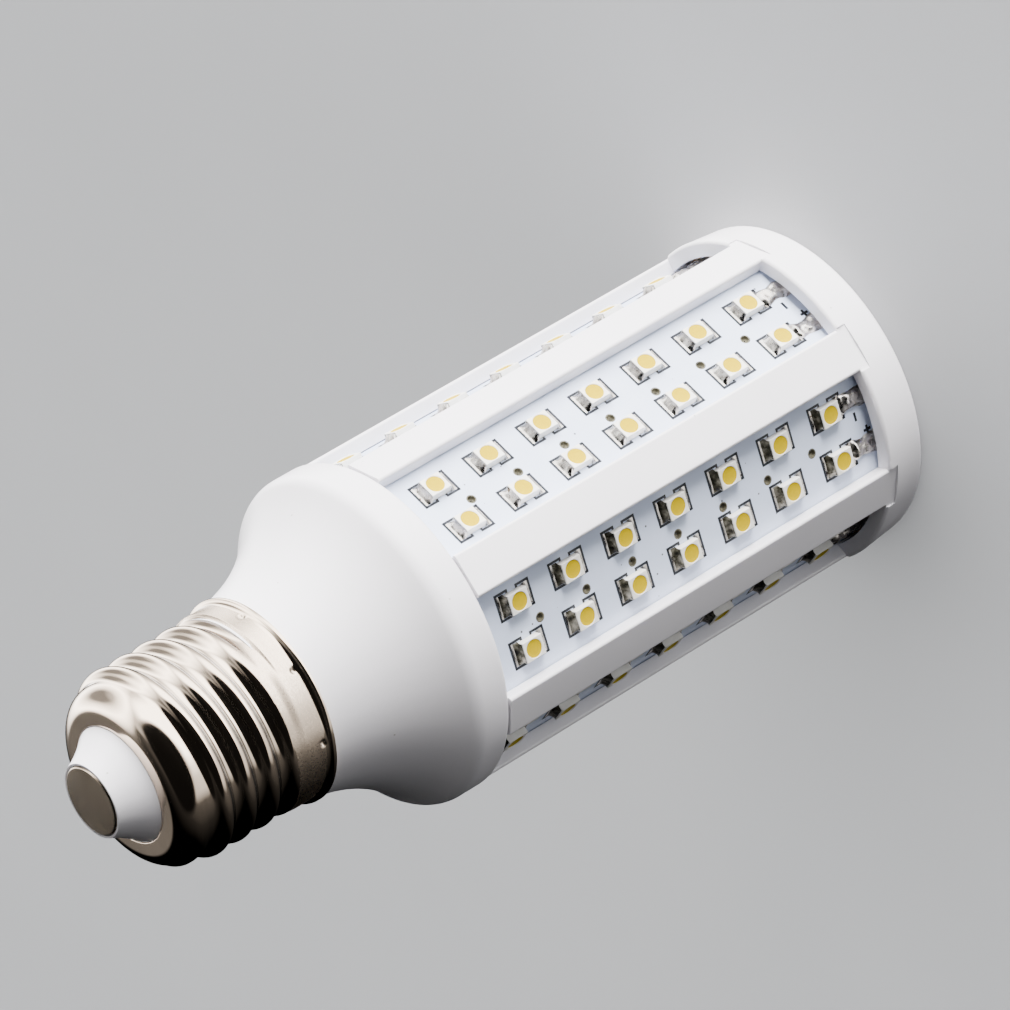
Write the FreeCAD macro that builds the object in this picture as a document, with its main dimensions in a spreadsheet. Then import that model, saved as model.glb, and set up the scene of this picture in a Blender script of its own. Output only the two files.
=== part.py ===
import FreeCAD, Part
import Sketcher
import math
import os

# Corn LED bulb with an Edison screw cap, standing on its flat head with the cap upwards.
# Z is the axis of the bulb, Z = 0 is the head face, and a rib faces -Y. Millimetres.

doc = FreeCAD.newDocument("corn_led_bulb")

# Driving dimensions
SIZES = {
    "strip_count": 7,
    "led_row_count": 7,
    "led_pitch": 8.8,
    "led_row_spacing": 6.44,
    "led_head_distance": 11.9,
    "led_length": 3.1,
    "led_width": 2.7,
    "led_height": 1.1,
    "led_cup_diameter": 2.4,
    "led_cup_depth": 0.25,
    "board_thickness": 1.2,
    "board_side_cover": 0.6,
    "board_head_end": 3.4,
    "board_tuck": 2.4,
    "via_count": 7,
    "via_diameter": 1.0,
    "via_pitch": 7.7,
    "via_side_offset": 0.5,
    "via_head_distance": 15.65,
    "rib_face_distance": 22.2,
    "rib_width": 6.29,
    "window_depth": 3.16,
    "rib_start": 4.2,
    "rib_flat_start": 5.0,
    "rib_edge_round": 0.35,
    "groove_clearance": 0.15,
    "lip_overlap": 0.55,
    "lip_depth": 0.9,
    "ring_proud": 0.44,
    "head_taper": 0.51,
    "ring_height": 6.5,
    "ring_wall": 2.1,
    "ring_edge_round": 0.5,
    "head_wall": 1.8,
    "head_round": 0.9,
    "collar_height": 2.4,
    "collar_width": 3.4,
    "collar_clearance": 0.25,
    "bell_proud": 0.2,
    "bell_rim_height": 71.0,
    "bell_rim_round": 0.8,
    "bell_wall": 1.9,
    "shoulder_rise": 3.9,
    "shoulder_round": 2.4,
    "flare_angle": 49.8,
    "neck_radius": 13.5,
    "neck_curve": 23.2,
    "neck_wall": 1.6,
    "neck_step_distance": 5.7,
    "spigot_radius": 11.55,
    "spigot_length": 13.0,
    "spigot_bore": 9.4,
    "cap_height": 91.5,
    "shell_wall": 0.35,
    "skirt_radius": 13.3,
    "skirt_length": 4.5,
    "flange_radius": 13.9,
    "flange_height": 0.7,
    "thread_radius": 13.2,
    "thread_depth": 1.1,
    "thread_pitch": 3.63,
    "thread_length": 15.6,
    "thread_lead_in": 3.3,
    "thread_root_overlap": 0.2,
    "thread_turn_gap": 0.145,
    "thread_fade_length": 5.4,
    "dome_round": 3.0,
    "dome_height": 22.4,
    "dome_hole_radius": 7.85,
    "insulator_radius": 7.72,
    "insulator_tip_radius": 5.0,
    "insulator_height": 4.3,
    "insulator_curve": 14.0,
    "insulator_flange": 1.6,
    "insulator_flange_depth": 1.5,
    "contact_radius": 4.63,
    "contact_thickness": 0.8,
    "contact_proud": 0.15,
    "contact_round": 0.25,
    "rivet_radius": 1.1,
    "rivet_length": 6.5,
    "fit_clearance": 0.1,
    "link_board_height": 2.1,
    "link_board_thickness": 1.2,
    "link_board_hole": 1.5,
    "solder_length": 6.7,
    "solder_width": 2.3,
    "solder_height": 0.8,
    "solder_chamfer": 0.48,
    "driver_start": 78.5,
    "driver_length": 27.0,
    "driver_width": 18.1,
    "driver_thickness": 1.6,
    "component_gap": 0.5,
    "film_cap_length": 9.5,
    "film_cap_width": 13.0,
    "film_cap_height": 6.0,
    "bulk_cap_diameter": 6.3,
    "bulk_cap_length": 11.0,
    "bridge_length": 4.7,
    "bridge_width": 3.9,
    "bridge_height": 2.5,
    "bridge_end_gap": 2.0,
    "resistor_diameter": 2.4,
    "resistor_length": 6.3,
    "resistor_spacing": 3.4,
    "fuse_diameter": 3.0,
    "fuse_length": 8.0,
    "lead_diameter": 1.3,
    "lead_spacing": 4.0,
    "lead_side": 6.0,
    "lead_foot": 4.0,
    "lead_gather_start": 4.0,
    "lead_gather_end": 14.0,
}

# A cutting outline reaches this far past the surface that it cuts
BEYOND = 1

sheet = doc.addObject("Spreadsheet::Sheet", "Sizes")
for row, (alias, number) in enumerate(SIZES.items(), start=1):
    sheet.set("A%d" % row, alias)
    sheet.set("B%d" % row, str(number))
    sheet.setAlias("B%d" % row, alias)
doc.recompute()


class Size:
    """A length with its value and the sheet expression that gives it."""

    def __init__(self, text, value):
        self.text = text
        self.value = float(value)

    def combined(self, sign, other, value):
        other = as_size(other)
        return Size("(%s %s %s)" % (self.text, sign, other.text), value)

    def __add__(self, other):
        return self.combined("+", other, self.value + as_size(other).value)

    def __sub__(self, other):
        return self.combined("-", other, self.value - as_size(other).value)

    def __mul__(self, other):
        return self.combined("*", other, self.value * as_size(other).value)

    def __truediv__(self, other):
        return self.combined("/", other, self.value / as_size(other).value)

    def __radd__(self, other):
        return as_size(other) + self

    def __rsub__(self, other):
        return as_size(other) - self

    def __rmul__(self, other):
        return as_size(other) * self

    def __neg__(self):
        return as_size(0) - self


def as_size(number):
    """Wrap a plain number, and leave a Size as it is."""
    if isinstance(number, Size):
        return number
    return Size("%r" % float(number), number)


def cell(alias):
    """The driving dimension of that name, bound to its cell."""
    return Size("Sizes.%s" % alias, SIZES[alias])


def sine(angle):
    return Size("sin(%s)" % angle.text, math.sin(math.radians(angle.value)))


def cosine(angle):
    return Size("cos(%s)" % angle.text, math.cos(math.radians(angle.value)))


# Sizes that follow from the driving ones
HALF_STEP = as_size(180) / cell("strip_count")
RIM = cell("bell_rim_height")
CAP = cell("cap_height")
RIB_FACE = cell("rib_face_distance")
RING_RADIUS = RIB_FACE + cell("ring_proud")
HEAD_RADIUS = RING_RADIUS - cell("head_taper")
BELL_RADIUS = RIB_FACE + cell("bell_proud")
BOARD_FACE = RIB_FACE - cell("window_depth")
HALF_WINDOW = RIB_FACE * sine(HALF_STEP) - cell("rib_width") / 2 * cosine(HALF_STEP)
HALF_BOARD = HALF_WINDOW + cell("board_side_cover")


def new_body(name):
    body = doc.addObject("PartDesign::Body", name)
    body.Label = name
    return body


def plane_of(body, role):
    return next(item for item in body.Origin.OriginFeatures if item.Role == role)


def bind(feature, **sizes):
    for prop, size in sizes.items():
        feature.setExpression(prop, as_size(size).text)


def sketch_on(body, name, role, shift=None):
    sketch = body.newObject("Sketcher::SketchObject", name)
    sketch.AttachmentSupport = [(plane_of(body, role), "")]
    sketch.MapMode = "FlatFace"
    if shift is not None:
        sketch.setExpression("AttachmentOffset.Base.z", as_size(shift).text)
    return sketch


def arc_through(start, end, radius):
    """Arc between two points. A positive radius bows it to the left on the way to the end."""
    chord = end - start
    half = chord.Length / 2
    left = FreeCAD.Vector(-chord.y, chord.x, 0).normalize()
    drop = math.sqrt(max(radius * radius - half * half, 0.0))
    centre = start + chord * 0.5 - left * math.copysign(drop, radius)
    circle = Part.Circle(centre, FreeCAD.Vector(0, 0, 1), abs(radius))
    first, last = (end, start) if radius > 0 else (start, end)
    angles = [math.atan2(spot.y - centre.y, spot.x - centre.x) for spot in (first, last)]
    if angles[1] < angles[0]:
        angles[1] += 2 * math.pi
    return Part.ArcOfCircle(circle, angles[0], angles[1])


def draw_outline(sketch, points):
    """Closed outline. A point is (x, y) or (x, y, radius of the arc that leads to the next one)."""
    points = [tuple(as_size(value) for value in point) for point in points]
    total = len(points)
    starts = []
    for index, point in enumerate(points):
        following = points[(index + 1) % total]
        a = FreeCAD.Vector(point[0].value, point[1].value, 0)
        b = FreeCAD.Vector(following[0].value, following[1].value, 0)
        if len(point) == 2:
            edge = sketch.addGeometry(Part.LineSegment(a, b), False)
            starts.append((edge, 1, 2))
            continue
        edge = sketch.addGeometry(arc_through(a, b, point[2].value), False)
        starts.append((edge, 2, 1) if point[2].value > 0 else (edge, 1, 2))
        ring = sketch.addConstraint(Sketcher.Constraint("Radius", edge, abs(point[2].value)))
        radius_text = point[2].text if point[2].value > 0 else (-point[2]).text
        sketch.setExpression("Constraints[%d]" % ring, radius_text)
    for index, (edge, begin, end) in enumerate(starts):
        after, after_begin, _ = starts[(index + 1) % total]
        sketch.addConstraint(Sketcher.Constraint("Coincident", edge, end, after, after_begin))
    for (edge, begin, _), point in zip(starts, points):
        for kind, size in zip(("DistanceX", "DistanceY"), point[:2]):
            if size.text == "0.0":
                axis = -2 if kind == "DistanceX" else -1
                sketch.addConstraint(Sketcher.Constraint("PointOnObject", edge, begin, axis))
                continue
            number = sketch.addConstraint(Sketcher.Constraint(kind, edge, begin, size.value))
            sketch.setExpression("Constraints[%d]" % number, size.text)
    return sketch


def draw_circle(sketch, x, y, radius):
    x, y, radius = as_size(x), as_size(y), as_size(radius)
    centre = FreeCAD.Vector(x.value, y.value, 0)
    edge = sketch.addGeometry(Part.Circle(centre, FreeCAD.Vector(0, 0, 1), radius.value), False)
    number = sketch.addConstraint(Sketcher.Constraint("Radius", edge, radius.value))
    sketch.setExpression("Constraints[%d]" % number, radius.text)
    for kind, size in (("DistanceX", x), ("DistanceY", y)):
        if size.text == "0.0":
            axis = -2 if kind == "DistanceX" else -1
            sketch.addConstraint(Sketcher.Constraint("PointOnObject", edge, 3, axis))
            continue
        number = sketch.addConstraint(Sketcher.Constraint(kind, edge, 3, size.value))
        sketch.setExpression("Constraints[%d]" % number, size.text)
    return sketch


def turned(body, name, points, cut=False):
    """Revolve an outline of (radius, height) points round the bulb's axis."""
    sketch = draw_outline(sketch_on(body, name + "_profile", "XZ_Plane"), points)
    kind = "PartDesign::Groove" if cut else "PartDesign::Revolution"
    feature = body.newObject(kind, name)
    feature.Profile = sketch
    feature.ReferenceAxis = (sketch, ["V_Axis"])
    feature.Angle = 360.0
    return feature


def window_point(height, side):
    """A point of a window's section, as (across the rib, away from the axis) seen from the rib."""
    across = height * sine(HALF_STEP) - side * cosine(HALF_STEP)
    outward = height * cosine(HALF_STEP) + side * sine(HALF_STEP)
    return across, outward


def rib_section():
    """Right half of a rib's section from its outer face inwards: side wall, board groove, lip."""
    gap = cell("groove_clearance")
    board_edge = HALF_BOARD + gap
    board_top = BOARD_FACE + gap
    board_back = BOARD_FACE - cell("board_thickness") - gap
    lip_edge = board_edge - cell("lip_overlap")
    corner = cell("rib_width") / 2
    corner_height = RIB_FACE * cosine(HALF_STEP) + corner * sine(HALF_STEP)
    round_reach = cell("rib_edge_round") * (1 + sine(HALF_STEP)) / cosine(HALF_STEP)
    return [
        (corner - round_reach, RIB_FACE),
        window_point(corner_height - round_reach, HALF_WINDOW),
        window_point(board_top, HALF_WINDOW),
        window_point(board_top, board_edge),
        window_point(board_back, board_edge),
        window_point(board_back, lip_edge),
        window_point(board_back - cell("lip_depth"), lip_edge),
    ]


def make_cage():
    """White moulding: flat head, ring, seven ribs and the collar that the bell takes in."""
    body = new_body("cage")
    top = cell("ring_height")
    inner = RING_RADIUS - cell("ring_wall")
    edge = cell("ring_edge_round")
    corner = cell("head_round")
    wall = cell("head_wall")
    turned(body, "head_ring", [
        (0, 0),
        (HEAD_RADIUS - corner, 0, -corner),
        (HEAD_RADIUS, corner),
        (RING_RADIUS, top - edge, -edge),
        (RING_RADIUS - edge, top),
        (inner, top),
        (inner, wall),
        (0, wall),
    ])

    section = rib_section()
    right = [(across, -outward) for across, outward in section]
    left = [(-across, -outward) for across, outward in reversed(section)]
    right[0] += (-cell("rib_edge_round"),)
    left[-2] += (-cell("rib_edge_round"),)
    rib = body.newObject("PartDesign::Pad", "rib")
    start = cell("rib_start")
    rib.Profile = draw_outline(sketch_on(body, "rib_profile", "XY_Plane", start), left + right)
    collar_start = RIM + cell("board_tuck") + cell("groove_clearance")
    bind(rib, Length=collar_start + cell("collar_height") / 2 - start)
    doc.recompute()

    half_width = cell("rib_width") / 2
    beyond = -(RING_RADIUS + BEYOND)
    flat = body.newObject("PartDesign::Pocket", "rib_flat")
    flat.Profile = draw_outline(
        sketch_on(body, "rib_flat_profile", "XY_Plane", cell("rib_flat_start")),
        [(-half_width, beyond), (half_width, beyond), (half_width, -RIB_FACE), (-half_width, -RIB_FACE)],
    )
    flat.Reversed = True
    bind(flat, Length=top)
    doc.recompute()

    ribs = body.newObject("PartDesign::PolarPattern", "ribs")
    ribs.Originals = [rib, flat]
    ribs.Axis = (plane_of(body, "Z_Axis"), [""])
    ribs.Angle = 360.0
    bind(ribs, Occurrences=cell("strip_count"))
    body.Tip = ribs
    doc.recompute()

    collar_radius = BELL_RADIUS - cell("bell_wall") - cell("collar_clearance")
    collar_end = collar_start + cell("collar_height")
    turned(body, "collar", [
        (collar_radius - cell("collar_width"), collar_start),
        (collar_radius, collar_start),
        (collar_radius, collar_end),
        (collar_radius - cell("collar_width"), collar_end),
    ])
    doc.recompute()
    turned(body, "collar_step", [
        (collar_radius, RIM - cell("groove_clearance")),
        (RING_RADIUS + BEYOND, RIM - cell("groove_clearance")),
        (RING_RADIUS + BEYOND, collar_end + BEYOND),
        (collar_radius, collar_end + BEYOND),
    ], cut=True)
    return body


def make_lower_housing():
    """White moulding: bell with a rounded rim, flared neck, and the spigot inside the cap."""
    body = new_body("lower_housing")
    wall = cell("bell_wall")
    rim_round = cell("bell_rim_round")
    shoulder = cell("shoulder_round")
    flare_radius = BELL_RADIUS - shoulder + shoulder * cosine(cell("flare_angle"))
    shoulder_height = RIM + cell("shoulder_rise")
    flare_height = shoulder_height + shoulder * sine(cell("flare_angle"))
    skirt_inside = cell("skirt_radius") - cell("shell_wall") - cell("fit_clearance")
    skirt_end = CAP + cell("skirt_length") - 2 * cell("shell_wall")
    spigot_end = CAP + cell("spigot_length")
    ledge = (RIM + cell("board_tuck") + cell("collar_height")
             + cell("groove_clearance") + cell("fit_clearance"))
    neck_inside = cell("neck_radius") - cell("neck_wall")
    turned(body, "bell_and_neck", [
        (BELL_RADIUS - wall, RIM),
        (BELL_RADIUS - rim_round, RIM, -rim_round),
        (BELL_RADIUS, RIM + rim_round),
        (BELL_RADIUS, shoulder_height, -shoulder),
        (flare_radius, flare_height, cell("neck_curve")),
        (cell("neck_radius"), CAP),
        (skirt_inside, CAP),
        (skirt_inside, skirt_end),
        (cell("spigot_radius"), skirt_end),
        (cell("spigot_radius"), spigot_end),
        (cell("spigot_bore"), spigot_end),
        (cell("spigot_bore"), CAP - wall),
        (neck_inside, CAP - cell("neck_step_distance"), -cell("neck_curve")),
        (flare_radius - wall, ledge),
        (BELL_RADIUS - wall, ledge),
    ])
    return body


def thread_ridge(body, name, inset, start, cut=False):
    """Rolled ridge: a crest arc between two valley arcs, swept along the helix."""
    half_pitch = cell("thread_pitch") / 2
    depth = cell("thread_depth")
    square = half_pitch * half_pitch + depth * depth
    roll = square / (4 * depth)
    sine_flank = 2 * half_pitch * depth / square
    cosine_flank = (half_pitch * half_pitch - depth * depth) / square
    valley = cell("thread_radius") - depth
    root = valley - inset - cell("thread_root_overlap")
    relief = cell("thread_turn_gap") / 2
    flank_radius = valley + depth / 2 - inset * cosine_flank
    flank_shift = half_pitch / 2 + inset * sine_flank
    sketch = draw_outline(sketch_on(body, name + "_profile", "XZ_Plane"), [
        (root, start + relief),
        (root, start + 2 * half_pitch - relief),
        (valley - inset, start + 2 * half_pitch - relief, -(roll + inset)),
        (flank_radius, start + 2 * half_pitch - flank_shift, roll - inset),
        (flank_radius, start + flank_shift, -(roll + inset)),
        (valley - inset, start + relief),
    ])
    kind = "PartDesign::SubtractiveHelix" if cut else "PartDesign::AdditiveHelix"
    ridge = body.newObject(kind, name)
    ridge.Profile = sketch
    ridge.ReferenceAxis = (sketch, ["V_Axis"])
    ridge.Mode = "pitch-height-angle"
    bind(ridge, Pitch=cell("thread_pitch"), Height=cell("thread_length"))
    return ridge


def shell_outline(inset):
    """Section of the cap's surface, moved in by a wall: flange, skirt, core and dome."""
    flange = cell("flange_radius") - inset
    skirt = cell("skirt_radius") - inset
    core = cell("thread_radius") - cell("thread_depth") - inset
    dome = cell("dome_round") - inset
    crown = CAP + cell("dome_height") - inset
    return [
        (flange, CAP),
        (flange, CAP + cell("flange_height")),
        (skirt, CAP + cell("flange_height") + cell("shell_wall")),
        (skirt, CAP + cell("skirt_length") - inset),
        (core, CAP + cell("skirt_length") + cell("thread_depth") / 2 - inset),
        (core, crown - dome, -dome),
        (core - dome, crown),
    ]


def make_screw_shell():
    """Nickel-plated cap of thin sheet: flange, skirt, rolled thread and domed end with a hole."""
    body = new_body("screw_shell")
    wall = cell("shell_wall")
    start = CAP + cell("skirt_length") - cell("thread_lead_in")
    outline = shell_outline(as_size(0))
    crown = outline[-1][1]
    turned(body, "shell_form", [(0, CAP)] + outline + [(0, crown)])
    doc.recompute()
    thread_ridge(body, "thread", as_size(0), start)
    doc.recompute()
    crest = cell("thread_radius")
    fade_end = start + cell("thread_length") + cell("thread_pitch")
    turned(body, "thread_fade", [
        (crest - cell("thread_depth"), fade_end),
        (crest + BEYOND, fade_end - cell("thread_fade_length")),
        (crest + BEYOND, fade_end + cell("thread_pitch")),
        (crest - cell("thread_depth"), fade_end + cell("thread_pitch")),
    ], cut=True)
    doc.recompute()
    inside = shell_outline(wall)
    turned(body, "shell_bore", [(0, CAP)] + inside + [(0, crown - wall)], cut=True)
    doc.recompute()
    thread_ridge(body, "thread_inside", wall, start, cut=True)
    doc.recompute()
    turned(body, "dome_hole", [
        (0, crown - 2 * wall),
        (cell("dome_hole_radius"), crown - 2 * wall),
        (cell("dome_hole_radius"), crown + wall),
        (0, crown + wall),
    ], cut=True)
    return body


def make_insulator():
    """White plastic cone in the dome's hole, with a flange behind the dome and a seat on top."""
    body = new_body("insulator")
    crown = CAP + cell("dome_height")
    under = crown - cell("shell_wall") - cell("fit_clearance")
    tip = crown + cell("insulator_height")
    base_radius = cell("insulator_radius")
    tip_radius = cell("insulator_tip_radius")
    seat = cell("contact_radius") + cell("fit_clearance")
    seat_floor = tip + cell("contact_proud") - cell("contact_thickness")
    hole = cell("rivet_radius") + cell("fit_clearance")
    turned(body, "cone", [
        (hole, under - cell("insulator_flange_depth")),
        (base_radius + cell("insulator_flange"), under - cell("insulator_flange_depth")),
        (base_radius + cell("insulator_flange"), under),
        (base_radius, under),
        (base_radius, crown, cell("insulator_curve")),
        (tip_radius, tip),
        (seat, tip),
        (seat, seat_floor),
        (hole, seat_floor),
    ])
    return body


def make_centre_contact():
    """Flat nickel contact with a rounded rim, and the rivet that holds it in the cone."""
    body = new_body("centre_contact")
    face = CAP + cell("dome_height") + cell("insulator_height") + cell("contact_proud")
    back = face - cell("contact_thickness")
    radius = cell("contact_radius")
    rim = cell("contact_round")
    turned(body, "disc_and_rivet", [
        (0, back - cell("rivet_length")),
        (cell("rivet_radius"), back - cell("rivet_length")),
        (cell("rivet_radius"), back),
        (radius, back),
        (radius, face - rim, -rim),
        (radius - rim, face),
        (0, face),
    ])
    return body


def make_strip_board(index):
    """Long white circuit board behind one window, with a row of via holes."""
    body = new_body("strip_board_%d" % (index + 1))
    back = BOARD_FACE - cell("board_thickness")
    end = RIM + cell("board_tuck")
    panel = body.newObject("PartDesign::Pad", "panel_%d" % (index + 1))
    panel.Profile = draw_outline(
        sketch_on(body, "panel_profile_%d" % (index + 1), "YZ_Plane", back),
        [(-HALF_BOARD, cell("board_head_end")), (HALF_BOARD, cell("board_head_end")),
         (HALF_BOARD, end), (-HALF_BOARD, end)],
    )
    bind(panel, Length=cell("board_thickness"))
    doc.recompute()
    via = body.newObject("PartDesign::Pocket", "via_%d" % (index + 1))
    via.Profile = draw_circle(
        sketch_on(body, "via_profile_%d" % (index + 1), "YZ_Plane", BOARD_FACE),
        -cell("via_side_offset"), cell("via_head_distance"), cell("via_diameter") / 2,
    )
    bind(via, Length=cell("board_thickness"))
    doc.recompute()
    vias = body.newObject("PartDesign::LinearPattern", "vias_%d" % (index + 1))
    vias.Originals = [via]
    vias.Direction = (plane_of(body, "Z_Axis"), [""])
    vias.Mode = "Spacing"
    bind(vias, Offset=cell("via_pitch"), Occurrences=cell("via_count"))
    body.Tip = vias
    body.Placement = turned_to_strip(index)
    return body


def turned_to_strip(index):
    """Turn a piece drawn facing +X to the middle of a window. Strip 1 is right of the front rib."""
    angle = -90 + (index + 0.5) * 360 / size("strip_count")
    return FreeCAD.Placement(FreeCAD.Vector(), FreeCAD.Rotation(FreeCAD.Vector(0, 0, 1), angle))


def size(alias):
    """Value of a driving dimension, read from the sheet."""
    return float(getattr(sheet, alias))


def solid_piece(name, solids, placement=None):
    """Sub-part made of one or more solids."""
    piece = doc.addObject("Part::Feature", name)
    piece.Label = name
    piece.Shape = solids[0] if len(solids) == 1 else Part.makeCompound(solids)
    if placement is not None:
        piece.Placement = placement
    return piece


def block(low, high):
    """Box between two corners."""
    edges = [b - a for a, b in zip(low, high)]
    return Part.makeBox(*edges, FreeCAD.Vector(*low))


def rod(radius, start, end):
    """Cylinder from one point to another."""
    line = FreeCAD.Vector(*end) - FreeCAD.Vector(*start)
    return Part.makeCylinder(radius, line.Length, FreeCAD.Vector(*start), line)


def led_places():
    """(side, height) of each LED on a strip, two rows from the head end to the cap end."""
    rows = (-size("led_row_spacing") / 2, size("led_row_spacing") / 2)
    for side in rows:
        for number in range(round(size("led_row_count"))):
            yield side, size("led_head_distance") + number * size("led_pitch")


def make_leds(index):
    """LED packages of one strip: white bodies with a round cup, and the phosphor that fills it."""
    surface = BOARD_FACE.value
    top = surface + size("led_height")
    cup_floor = top - size("led_cup_depth")
    half_width = size("led_width") / 2
    half_length = size("led_length") / 2
    cup_radius = size("led_cup_diameter") / 2
    packages = []
    fillings = []
    for side, height in led_places():
        package = block((surface, side - half_width, height - half_length),
                        (top, side + half_width, height + half_length))
        filling = rod(cup_radius, (cup_floor, side, height), (top, side, height))
        packages.append(package.cut(filling))
        fillings.append(filling)
    placement = turned_to_strip(index)
    solid_piece("led_packages_%d" % (index + 1), packages, placement)
    solid_piece("led_phosphor_%d" % (index + 1), fillings, placement)


def make_solder_joints():
    """Two blobs on the head end of each strip, standing on the link board."""
    surface = BOARD_FACE.value
    start = size("link_board_height") + size("link_board_thickness")
    blobs = []
    for index in range(round(size("strip_count"))):
        for side in (-size("led_row_spacing") / 2, size("led_row_spacing") / 2):
            half = size("solder_width") / 2
            foot = Part.makePolygon([
                FreeCAD.Vector(surface, side - half, start),
                FreeCAD.Vector(surface, side + half, start),
                FreeCAD.Vector(surface, side + half, start + size("solder_length")),
                FreeCAD.Vector(surface, side - half, start + size("solder_length")),
                FreeCAD.Vector(surface, side - half, start),
            ])
            blob = Part.Face(foot).extrude(FreeCAD.Vector(size("solder_height"), 0, 0))
            top_edges = [edge for edge in blob.Edges
                         if min(v.X for v in edge.Vertexes) > surface + size("solder_height") / 2]
            blob = blob.makeChamfer(size("solder_chamfer"), top_edges)
            blob.Placement = turned_to_strip(index)
            blobs.append(blob)
    return solid_piece("solder_joints", blobs)


def make_link_board():
    """Round board in the head, under the ends of the strips, that they are soldered to."""
    low = size("link_board_height")
    high = low + size("link_board_thickness")
    radius = RING_RADIUS.value - size("ring_wall") - size("fit_clearance")
    plate = rod(radius, (0, 0, low), (0, 0, high))
    hole = rod(size("link_board_hole"), (0, 0, low), (0, 0, high))
    return solid_piece("link_board", [plate.cut(hole)])


def make_driver():
    """Driver board in the neck with its components, standing in the plane Y = 0."""
    half_width = size("driver_width") / 2
    half_thick = size("driver_thickness") / 2
    gap = size("component_gap")
    low = size("driver_start")
    high = low + size("driver_length")
    solid_piece("driver_board", [block((-half_width, -half_thick, low),
                                       (half_width, half_thick, high))])
    half_film = size("film_cap_width") / 2
    film_low = low + gap
    film_high = film_low + size("film_cap_length")
    solid_piece("film_capacitor", [block((-half_film, -half_thick - size("film_cap_height"), film_low),
                                         (half_film, -half_thick, film_high))])
    bulk = size("bulk_cap_diameter") / 2
    bulk_low = low + gap
    bulk_high = bulk_low + size("bulk_cap_length")
    solid_piece("bulk_capacitor", [rod(bulk, (0, half_thick + bulk, bulk_low),
                                       (0, half_thick + bulk, bulk_high))])
    half_bridge = size("bridge_width") / 2
    bridge_high = high - size("bridge_end_gap")
    bridge_low = bridge_high - size("bridge_length")
    solid_piece("bridge_rectifier", [block(
        (-half_bridge, half_thick, bridge_low),
        (half_bridge, half_thick + size("bridge_height"), bridge_high))])
    resistor = size("resistor_diameter") / 2
    resistor_low = bulk_high + gap
    resistor_high = resistor_low + size("resistor_length")
    resistors = []
    for side in (-size("resistor_spacing") / 2, size("resistor_spacing") / 2):
        resistors.append(rod(resistor, (side, half_thick + resistor, resistor_low),
                             (side, half_thick + resistor, resistor_high)))
    solid_piece("resistors", resistors)
    fuse = size("fuse_diameter") / 2
    fuse_low = film_high + gap
    fuse_high = fuse_low + size("fuse_length")
    solid_piece("fuse_resistor", [rod(fuse, (0, -half_thick - fuse, fuse_low),
                                      (0, -half_thick - fuse, fuse_high))])


# A wire's bend takes up this share of the shorter run beside it
BEND_SHARE = 0.45


def bent_lead(points, radius):
    """Insulated wire along straight runs joined by tangent arcs."""
    spots = [FreeCAD.Vector(*point) for point in points]
    edges = []
    here = spots[0]
    for before, corner, after in zip(spots, spots[1:], spots[2:]):
        back = (before - corner).normalize()
        onward = (after - corner).normalize()
        half_turn = (math.pi - back.getAngle(onward)) / 2
        reach = BEND_SHARE * min((before - corner).Length, (after - corner).Length)
        bend = reach / math.tan(half_turn)
        begin = corner + back * reach
        finish = corner + onward * reach
        inward = (back + onward).normalize()
        middle = corner + inward * (bend / math.cos(half_turn) - bend)
        edges.append(Part.LineSegment(here, begin).toShape())
        edges.append(Part.Arc(begin, middle, finish).toShape())
        here = finish
    edges.append(Part.LineSegment(here, spots[-1]).toShape())
    circle = Part.Wire(Part.makeCircle(radius, spots[0], spots[1] - spots[0]))
    return Part.Wire(edges).makePipeShell([circle], True, False)


def make_leads():
    """Wires: contact to driver, cap to driver, and two from the driver to the head board."""
    radius = size("lead_diameter") / 2
    beside = size("driver_thickness") / 2 + radius
    low = size("driver_start")
    high = low + size("driver_length")
    cap = size("cap_height")
    tip = cap + size("dome_height") + size("insulator_height") + size("contact_proud")
    rivet_end = tip - size("contact_thickness") - size("rivet_length")
    solid_piece("contact_lead", [rod(radius, (0, 0, high), (0, 0, rivet_end))])

    core = size("thread_radius") - size("thread_depth") - size("shell_wall")
    reach = math.sqrt(core * core - beside * beside) - size("fit_clearance")
    over = cap + size("spigot_length") + 2 * radius
    side = size("lead_side")
    foot = size("lead_foot")
    solid_piece("cap_lead", [bent_lead([
        (side, beside, high - foot), (side, beside, over), (reach, beside, over)], radius)])

    link_top = size("link_board_height") + size("link_board_thickness")
    spread = size("lead_spacing") / 2
    for name, hand in (("negative_lead", -1), ("positive_lead", 1)):
        solid_piece(name, [bent_lead([
            (hand * side, beside, low + foot),
            (hand * side, beside, low - size("lead_gather_start")),
            (hand * spread, beside, low - size("lead_gather_end")),
            (hand * spread, beside, link_top),
        ], radius)])


def write_parts():
    """Check every object, then write one STEP file for each sub-part."""
    doc.recompute()
    for item in doc.Objects:
        if "Invalid" in item.State or "Error" in item.State:
            raise RuntimeError("%s failed: %s" % (item.Name, item.State))
    os.makedirs("parts", exist_ok=True)
    for item in doc.Objects:
        if item.TypeId not in ("PartDesign::Body", "Part::Feature"):
            continue
        shape = item.Shape
        if shape.isNull() or not shape.isValid() or not shape.Solids:
            raise RuntimeError("%s has no valid solid" % item.Label)
        shape.exportStep("parts/%s.step" % item.Label)
        print("%-20s %3d solids %10.1f mm3" % (item.Label, len(shape.Solids), shape.Volume))


make_cage()
make_lower_housing()
make_screw_shell()
make_insulator()
make_centre_contact()
doc.recompute()
for strip in range(round(size("strip_count"))):
    make_strip_board(strip)
    make_leds(strip)
make_solder_joints()
make_link_board()
make_driver()
make_leads()
write_parts()
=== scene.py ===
import bpy
import math
import random
from mathutils import Matrix, Vector, noise


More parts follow.
